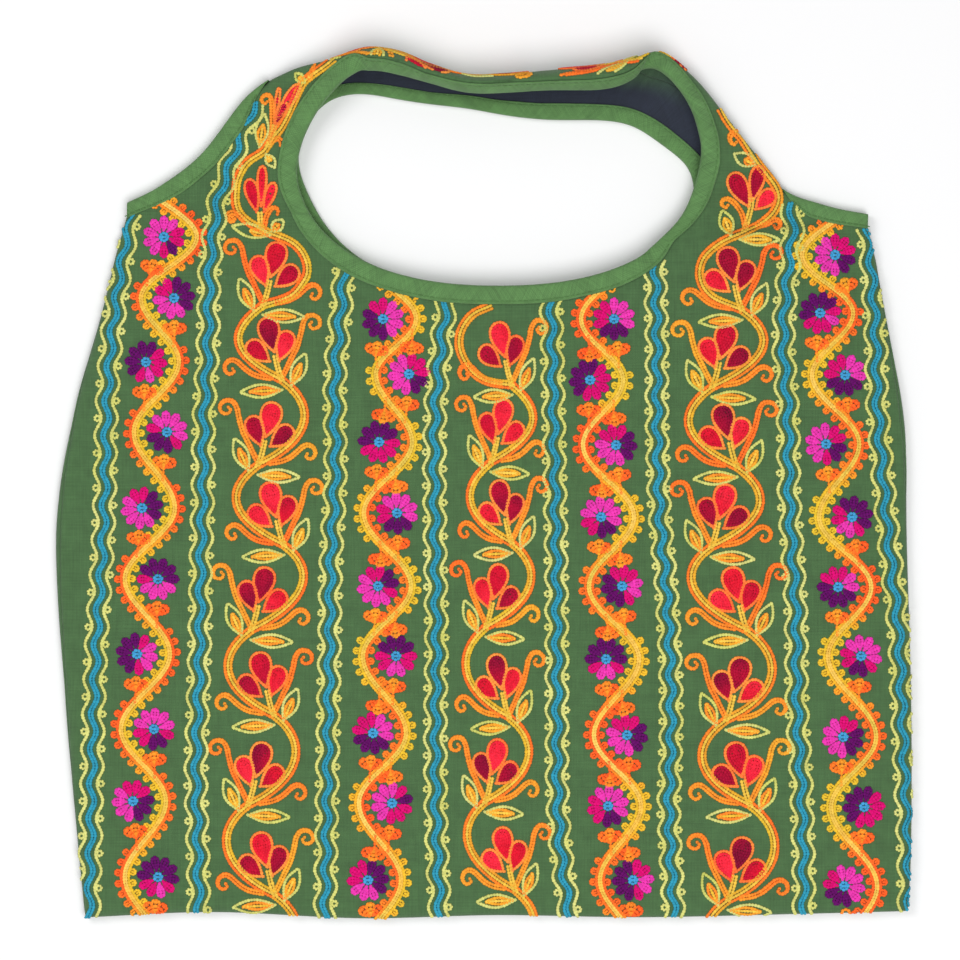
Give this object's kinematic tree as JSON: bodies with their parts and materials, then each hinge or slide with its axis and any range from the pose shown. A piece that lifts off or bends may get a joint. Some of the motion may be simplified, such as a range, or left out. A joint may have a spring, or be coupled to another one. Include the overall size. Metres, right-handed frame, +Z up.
{
  "type": "embroidered hobo bag",
  "caption": "Soft cotton hobo bag with one wide shoulder strap and a scooped mouth, its front covered in chain-stitch flower vines; carries light things on the shoulder.",
  "frame": {"origin": "centre of the bag's outline on the surface it lies on", "axes": "+X across the bag to the right as seen in the picture, +Y from the bottom seam to the strap, +Z up, out of the embroidered face"},
  "size_m": [0.4096, 0.4155, 0.0262],
  "materials": {
    "green_cotton_front": "matte woven cotton",
    "green_cotton_back": "matte woven cotton",
    "front_neck_strip": "folded woven cotton strip",
    "back_neck_strip": "folded woven cotton strip",
    "left_shoulder_strip": "folded woven cotton strip",
    "right_shoulder_strip": "folded woven cotton strip"
  },
  "bodies": {
    "root": {"front_panel": "green_cotton_front", "back_panel": "green_cotton_back", "front_neck_binding": "front_neck_strip", "back_neck_binding": "back_neck_strip", "left_shoulder_binding": "left_shoulder_strip", "right_shoulder_binding": "right_shoulder_strip"}
  },
  "joints": []
}
